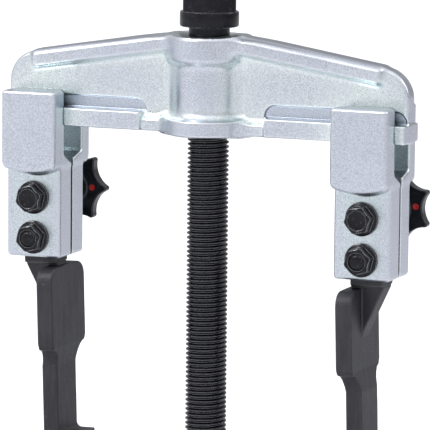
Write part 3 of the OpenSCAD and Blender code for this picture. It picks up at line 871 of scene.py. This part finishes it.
def leg_field(side):
    low, high = box_mm(f"{side.name}_leg")
    plate_half = high[1]
    width = [(0, PLATE_HIGH)] + arc(plate_half - 8, PLATE_HIGH - 8, 8, 90, 0)
    width += [(plate_half, PLATE_LOW + 2), (plate_half - 1.6, PLATE_LOW - 1.2)]
    width += arc(BAR_HALF + NECK_R, BAR_TOP, NECK_R, 125, 180)
    width += [(BAR_HALF, FOOT_LOW - 9), (-9, FOOT_LOW - 9), (-9, PLATE_HIGH)]
    section = [(PLATE_OUTER, PLATE_HIGH + 3), (PLATE_INNER, PLATE_HIGH + 3)]
    section += [(PLATE_INNER, PLATE_LOW), (BAR_INNER, BAR_TOP)]
    section += arc(BAR_INNER + 3, GRIP_Z + 3, 3, 180, 270, 6)
    section += [(FOOT_TIP, GRIP_Z), (FOOT_TIP, GRIP_Z - 5), (BAR_INNER + 4, FOOT_LOW)]
    section += [(BAR_OUTER + 4, FOOT_LOW), (BAR_OUTER, FOOT_LOW + 5)]
    section += [(BAR_OUTER, BAR_TOP), (PLATE_OUTER, PLATE_LOW)]
    wedge = [(-TANG_HALF_X, GUSSET_TOP + 1), (TANG_HALF_X, GUSSET_TOP + 1)]
    wedge += [(PLATE_INNER - 2, PLATE_HIGH - 4), (PLATE_INNER - 2, GUSSET_LOW)]
    wedge += [(PLATE_OUTER, GUSSET_LOW), (-TANG_HALF_X, GUSSET_TOP - 1)]
    lean_cos, lean_sin = math.cos(LEAN[side.name]), math.sin(LEAN[side.name])

    def field(x, y, z):
        along, drop = side.local(x), z - side.leg_z
        u = along * lean_cos + drop * lean_sin
        w = side.leg_z + drop * lean_cos - along * lean_sin
        ay = np.abs(y)
        blade = meet(outline(u, w, section), outline(ay, w, width), 1.1)
        tang = meet(np.abs(u) - TANG_HALF_X, ay - TANG_HALF_Y, 0.5)
        tang = meet(tang, slab(w, GUSSET_TOP, TANG_TOP), 0.5)
        gusset = meet(outline(u, w, wedge), ay - TANG_HALF_Y + GUSSET_INSET, 0.6)
        leg = join(join(blade, gusset, 0.9), tang, 0.3)
        return cut(leg, np.hypot(u, w - side.leg_z) - SHOULDER_CLEAR_R, 0.3)

    return field, low, high


def build_leg(side):
    field, low, high = leg_field(side)
    node = f"{side.name}_leg"
    piece = forged(f"{node}_forging", field, low, high, 0.7, PHOSPHATE)
    stand_for(piece, node)


# ---------------------------------------------------------------- bolts, nuts, washers

def along_y(ring, side, z, start, out):
    """Turns rings drawn about +Z so that their axis runs along Y from start.

    The rings' +Z becomes the rear where out is 1, and the front where it is -1."""
    r = np.array(ring)
    return np.stack([side.x + r[:, 0], start + out * r[:, 2], z + out * r[:, 1]], 1)


def hex_head_rings(height, turn, n, dished, hole):
    """A flanged hexagon from its bearing face up: flange, hexagon, chamfer, and a dish or a hole."""
    angle = turn + np.arange(n) * 2 * math.pi / n
    wall = hexagon_radius(angle - turn, HEAD_FLATS, 0.15)
    chamfer_r = HEAD_FLATS / 2 - 0.15
    drop = np.maximum(wall - chamfer_r, 0) * math.tan(math.radians(30))

    def wall_ring(z, grow=0.0):
        r = wall + grow
        return np.stack([r * np.cos(angle), r * np.sin(angle), np.zeros(n) + z], 1)

    def round_ring(r, z):
        return circle(r, z, n, turn)

    rise = (FLANGE_R - 0.35 - wall) * math.tan(math.radians(22))
    rings = [
        round_ring(FLANGE_R - 0.4, 0), round_ring(FLANGE_R - 0.05, 0.2), round_ring(FLANGE_R, 0.45),
        round_ring(FLANGE_R, 0.95), round_ring(FLANGE_R - 0.1, 1.2), round_ring(FLANGE_R - 0.35, 1.35),
        wall_ring(1.35 + rise - 0.10, 0.30), wall_ring(1.35 + rise + 0.25, 0.04),
        wall_ring(1.35 + rise + 0.5), wall_ring(height - drop - 0.25),
        wall_ring(height - drop - 0.08, -0.06), round_ring(chamfer_r - 0.1, height - 0.02),
    ]
    if dished:
        rings += [
            round_ring(chamfer_r - 0.45, height), round_ring(chamfer_r - 1.1, height),
            round_ring(chamfer_r - 1.5, height - 0.25), round_ring(chamfer_r - 2.0, height - 0.35),
        ]
    else:
        rings += [
            round_ring(chamfer_r - 0.4, height), round_ring(hole + 0.7, height),
            round_ring(hole, height - 0.7), round_ring(hole, 0.7), round_ring(hole + 0.7, 0),
        ]
    return rings


def build_clamp_bolt(side):
    node = f"{side.name}_clamp_bolt"
    low, high = box_mm(node)
    n, out = 72, -1.0
    face = -LOWER_HALF
    height = face - low[1]
    turn = math.radians(12 if side.inward > 0 else 20)
    head = hex_head_rings(height, turn, n, True, 0)
    shank_end = face - high[1]
    thread_r = M8_R - 0.02
    profile = [
        (thread_r - 0.8, shank_end), (thread_r, shank_end + 0.8), (thread_r, -0.3), (thread_r + 0.3, 0),
    ]
    shank = [circle(r, z, n) for r, z in profile]
    rings = [along_y(r, side, side.clamp_z, face, out) for r in shank + head]
    piece = ringed(f"{node}_m8", rings, BLACK_FASTENER, 30)
    stand_for(piece, node)


def build_leg_bolt(side):
    node = f"{side.name}_leg_bolt"
    low, high = box_mm(node)
    n, out = 72, 1.0
    head_face = high[1] - 8.0 + 1.35
    height = high[1] - head_face
    head = hex_head_rings(height, math.radians(9), n, True, 0)
    tip = low[1] - head_face
    shoulder_foot = -TANG_HALF_Y - head_face
    thread = M8_R - 0.02
    profile = [
        (thread - 1.25, tip), (thread - 1.0, tip + 0.08), (thread - 0.15, tip + 0.9),
        (thread, tip + 1.1), (thread, shoulder_foot - 0.01),
        (SHOULDER_R - 0.1, shoulder_foot), (SHOULDER_R, shoulder_foot + 0.2), (SHOULDER_R, -0.2),
        (SHOULDER_R + 0.3, 0),
    ]
    shank = [circle(r, z, n) for r, z in profile]
    rings = [along_y(r, side, side.leg_z, head_face, out) for r in shank + head]
    piece = ringed(f"{node}_m8", rings, BLACK_FASTENER, 30)
    stand_for(piece, node)


def build_leg_nut(side):
    node = f"{side.name}_leg_nut"
    low, high = box_mm(node)
    n, out = 72, -1.0
    face = high[1]
    height = face - low[1]
    rings = hex_head_rings(height, math.radians(14), n, False, M8_R + 0.05)
    rings.append(rings[0])
    rings = [along_y(r, side, side.leg_z, face, out) for r in rings]
    piece = bush(f"{node}_m8", rings, BLACK_FASTENER, 30)
    stand_for(piece, node)


def build_washer(side):
    node = f"{side.name}_knob_washer"
    low, high = box_mm(node)
    outer, inner = (high[0] - low[0]) / 2, BOLT_CLEAR_R
    t = high[1] - low[1]
    profile = [
        (inner, 0.15), (inner + 0.15, 0), (outer - 0.2, 0), (outer, 0.2), (outer, t - 0.35),
        (outer - 0.1, t - 0.1), (outer - 0.35, t), (inner + 0.2, t), (inner, t - 0.2), (inner, 0.15),
    ]
    rings = [along_y(circle(r, z, 72), side, side.clamp_z, low[1], 1.0) for r, z in profile]
    piece = bush(f"{node}_m8", rings, WASHER_ZINC, 35)
    stand_for(piece, node)


# ---------------------------------------------------------------- knobs

def knob_field(side, phase):
    low, high = box_mm(f"{side.name}_knob")
    foot, back = low[1], high[1]
    face = foot + KNOB_FACE
    valley_at = KNOB_R - LOBE_DEPTH + VALLEY_R
    marker_low, marker_high = box_mm(f"{side.name}_knob_marker")
    marker_x = (marker_low[0] + marker_high[0]) / 2
    marker_z = (marker_low[2] + marker_high[2]) / 2
    step = 2 * math.pi / KNOB_LOBES

    def field(x, y, z):
        u, w = x - side.x, z - side.clamp_z
        rr = np.hypot(u, w)
        a = np.arctan2(w, u) - phase
        a = (a % step) - step / 2
        valley = VALLEY_R - np.hypot(rr * np.cos(a) - valley_at, rr * np.sin(a))
        star = meet(rr - KNOB_R, valley, 0.8)
        dome = y - back + KNOB_DOME * rr ** 2
        lobed = meet(meet(star, dome, 2.2), face - y, 0.8)
        neck = meet(rr - KNOB_NECK_R, foot - y, 0.6)
        neck = np.maximum(neck, y - face - 2)
        knob = join(lobed, neck, 1.6)
        knob = cut(knob, np.maximum(rr - 6.0, y - foot - 18.0), 0.2)
        knob = cut(knob, np.maximum(rr - 4.5, y - back + 2.5), 0.2)
        plug = np.maximum(np.hypot(x - marker_x, z - marker_z) - 1.7, y - marker_high[1])
        return cut(knob, plug, 0.15)

    return field, low, high


def build_knob(side, phase):
    field, low, high = knob_field(side, phase)
    node = f"{side.name}_knob"
    piece = forged(f"{node}_moulding", field, low, high, 0.5, PLASTIC)
    stand_for(piece, node)


def build_insert(side):
    node = f"{side.name}_knob_insert"
    low, high = box_mm(node)
    outer, inner = (high[0] - low[0]) / 2, M8_R + 0.05
    length = high[1] - low[1]
    profile = [
        (inner, 0.6), (inner + 0.6, 0), (outer - 0.3, 0), (outer, 0.3), (outer, length - 0.3),
        (outer - 0.3, length), (inner + 0.6, length), (inner, length - 0.6), (inner, 0.6),
    ]
    rings = [along_y(circle(r, z, 60), side, side.clamp_z, low[1], 1.0) for r, z in profile]
    piece = bush(f"{node}_bush", rings, BRASS, 35)
    stand_for(piece, node)


def build_marker(side):
    node = f"{side.name}_knob_marker"
    low, high = box_mm(node)
    r = (high[0] - low[0]) / 2
    x, z = (low[0] + high[0]) / 2, (low[2] + high[2]) / 2
    depth = high[1] - low[1]
    profile = [
        (r * 0.8, 0), (r, 0.2), (r, depth - 0.12), (r - 0.12, depth), (r * 0.45, depth),
        (r * 0.3, depth - 0.18), (r * 0.12, depth - 0.3),
    ]
    rings = []
    for radius, up in profile:
        c = circle(radius, up, 40)
        rings.append(np.stack([x + c[:, 0], high[1] - c[:, 2], z - c[:, 1]], 1))
    piece = ringed(f"{node}_plug", rings, RED, 40)
    stand_for(piece, node)


# ---------------------------------------------------------------- stage, light, camera

def build_stage():
    """A pale floor: white to the camera, a little darker in the metal's reflections."""
    floor_z = TIP_LOW[2] * MM - 0.0005
    n = Nodes("pale_floor")
    n.set("Roughness", 0.9)
    n.set("Specular IOR Level", 0.1)
    n.set("Emission Color", (1, 1, 1, 1))
    seen = n.tree.nodes.new("ShaderNodeLightPath").outputs["Is Camera Ray"]
    n.set("Emission Strength", n.math("MULTIPLY", seen, 0.42))
    place = n.tree.nodes.new("ShaderNodeSeparateXYZ")
    n.tree.links.new(n.coordinate, place.inputs[0])
    to_back = n.spread(place.outputs["Y"], -0.3, 0.7, 0, 1)
    reflected = n.mix(to_back, (0.79, 0.79, 0.81), (0.64, 0.64, 0.66))
    n.set("Base Color", n.mix(seen, reflected, (0.78, 0.78, 0.80)))
    mesh = bpy.data.meshes.new("floor")
    span = 14.0
    corners = [(-span, -span), (span, -span), (span, span), (-span, span)]
    mesh.from_pydata([(x, y, floor_z) for x, y in corners], [], [(0, 1, 2, 3)])
    floor = bpy.data.objects.new("floor", mesh)
    bpy.context.scene.collection.objects.link(floor)
    mesh.materials.append(n.material)


def build_world():
    """White to the camera; to the metal, a studio with a bright ceiling, a bright left side and a dimmer
    front.
    """
    world = bpy.data.worlds.new("studio")
    bpy.context.scene.world = world
    world.use_nodes = True
    tree = world.node_tree
    white = tree.nodes["Background"]
    white.inputs["Color"].default_value = (1, 1, 1, 1)
    white.inputs["Strength"].default_value = 1.0
    studio = tree.nodes.new("ShaderNodeBackground")
    place = tree.nodes.new("ShaderNodeTexCoord").outputs["Generated"]
    axes = tree.nodes.new("ShaderNodeSeparateXYZ")
    tree.links.new(place, axes.inputs[0])

    def calc(operation, a, b):
        node = tree.nodes.new("ShaderNodeMath")
        node.operation = operation
        for socket, value in zip(node.inputs, (a, b)):
            if isinstance(value, bpy.types.NodeSocket):
                tree.links.new(value, socket)
            else:
                socket.default_value = value
        return node.outputs[0]

    def band(value, low, high, to_low, to_high):
        node = tree.nodes.new("ShaderNodeMapRange")
        node.interpolation_type = "SMOOTHSTEP"
        for name, number in zip(("From Min", "From Max", "To Min", "To Max"), (low, high, to_low, to_high)):
            node.inputs[name].default_value = number
        tree.links.new(value, node.inputs["Value"])
        return node.outputs["Result"]

    ceiling = band(axes.outputs["Z"], 0.40, 0.80, 0.0, 0.62)
    left = band(axes.outputs["X"], -0.35, -0.90, 0.0, 0.30)
    front = band(axes.outputs["Y"], 0.10, -0.60, 0.0, 0.35)
    strength = calc("ADD", calc("ADD", ceiling, left), calc("ADD", front, 0.38))
    tree.links.new(strength, studio.inputs["Strength"])
    studio.inputs["Color"].default_value = (0.97, 0.98, 1.0, 1)
    mix = tree.nodes.new("ShaderNodeMixShader")
    tree.links.new(tree.nodes.new("ShaderNodeLightPath").outputs["Is Camera Ray"], mix.inputs[0])
    tree.links.new(studio.outputs[0], mix.inputs[1])
    tree.links.new(white.outputs[0], mix.inputs[2])
    tree.links.new(mix.outputs[0], tree.nodes["World Output"].inputs["Surface"])


def build_light():
    def softbox(name, place, aim, width, height, power):
        data = bpy.data.lights.new(name, "AREA")
        data.shape = "RECTANGLE"
        data.size, data.size_y = width, height
        data.energy = power
        lamp = bpy.data.objects.new(name, data)
        lamp.location = place
        lamp.rotation_euler = (Vector(aim) - Vector(place)).to_track_quat("-Z", "Y").to_euler()
        bpy.context.scene.collection.objects.link(lamp)

    softbox("key", (-0.9, -1.0, 1.3), (0, 0, -0.03), 0.7, 0.7, 12)
    softbox("rim", (1.3, 0.6, 0.9), (0, 0, -0.03), 0.7, 1.0, 5)


def build_camera():
    """The photograph's camera: a long lens, to the right of the front and a little above."""
    azimuth, elevation, roll = math.radians(22.05), math.radians(8.16), math.radians(0.57)
    distance = 2.01676
    target = Vector((0.00425, 0.0, -0.0443))
    level = math.cos(elevation)
    forward = Vector((-math.sin(azimuth) * level, math.cos(azimuth) * level, -math.sin(elevation)))
    right = Vector((math.cos(azimuth), math.sin(azimuth), 0))
    up = right.cross(forward)
    tilted_right = right * math.cos(roll) + up * math.sin(roll)
    tilted_up = up * math.cos(roll) - right * math.sin(roll)
    data = bpy.data.cameras.new("camera")
    data.sensor_width = 36.0
    data.lens = 318.5
    data.clip_start, data.clip_end = 0.1, 100
    camera = bpy.data.objects.new("camera", data)
    rotation = Matrix((tilted_right, tilted_up, -forward)).transposed()
    camera.matrix_world = Matrix.Translation(target - forward * distance) @ rotation.to_4x4()
    bpy.context.scene.collection.objects.link(camera)
    bpy.context.scene.camera = camera


build_crossbeam()
build_spindle()
build_tip()
build_snap_ring()
for side_name, knob_phase in (("left", math.radians(-1)), ("right", math.radians(26))):
    here = Side(side_name)
    build_clamps(here)
    build_leg(here)
    build_clamp_bolt(here)
    build_leg_bolt(here)
    build_leg_nut(here)
    build_washer(here)
    build_knob(here, knob_phase)
    build_insert(here)
    build_marker(here)
build_stage()
build_world()
build_light()
build_camera()

bpy.context.scene.view_settings.view_transform = "Standard"
